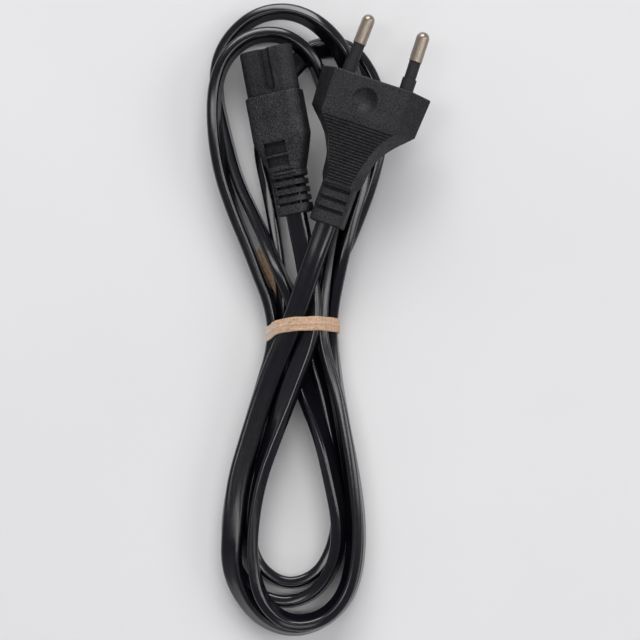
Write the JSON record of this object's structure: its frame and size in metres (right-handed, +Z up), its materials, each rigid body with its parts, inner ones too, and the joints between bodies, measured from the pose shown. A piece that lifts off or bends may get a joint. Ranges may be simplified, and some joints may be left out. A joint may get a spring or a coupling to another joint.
{
  "type": "power cord",
  "caption": "Flat two-core mains cord folded into a hank with a paper wire tie, a flat two-pin plug on one end and a figure-8 appliance connector on the other.",
  "frame": {"origin": "middle of the bounding box at the surface the folded cord lies on", "axes": "+Y along the hank, towards the end with the plug pins; +Z up from the surface it lies on; +X to the right seen from above"},
  "size_m": [0.0681, 0.1946, 0.0247],
  "materials": {
    "black_pvc": "fine matt moulding grain",
    "nose_plastic": "matt",
    "sleeve_black": "satin",
    "nickel": "nickel plated, bright",
    "cord_black": "satin",
    "core_brown": "satin",
    "core_blue": "satin",
    "copper": "bare stranded copper",
    "kraft_paper": "plain paper",
    "tie_steel": "drawn wire"
  },
  "bodies": {
    "root": {"plug_body": "black_pvc", "connector_body": "black_pvc", "contact_carrier": "nose_plastic", "pin_bridge": "nose_plastic", "contact_pin_left": "nickel", "pin_sleeve_left": "sleeve_black", "socket_contact_left": "nickel", "contact_pin_right": "nickel", "pin_sleeve_right": "sleeve_black", "socket_contact_right": "nickel", "plug_core_brown": "core_brown", "plug_conductor_brown": "copper", "plug_core_blue": "core_blue", "plug_conductor_blue": "copper", "connector_core_brown": "core_brown", "connector_conductor_brown": "copper", "connector_core_blue": "core_blue", "connector_conductor_blue": "copper", "cord": "cord_black", "tie_paper": "kraft_paper", "tie_wire": "tie_steel"}
  },
  "joints": []
}
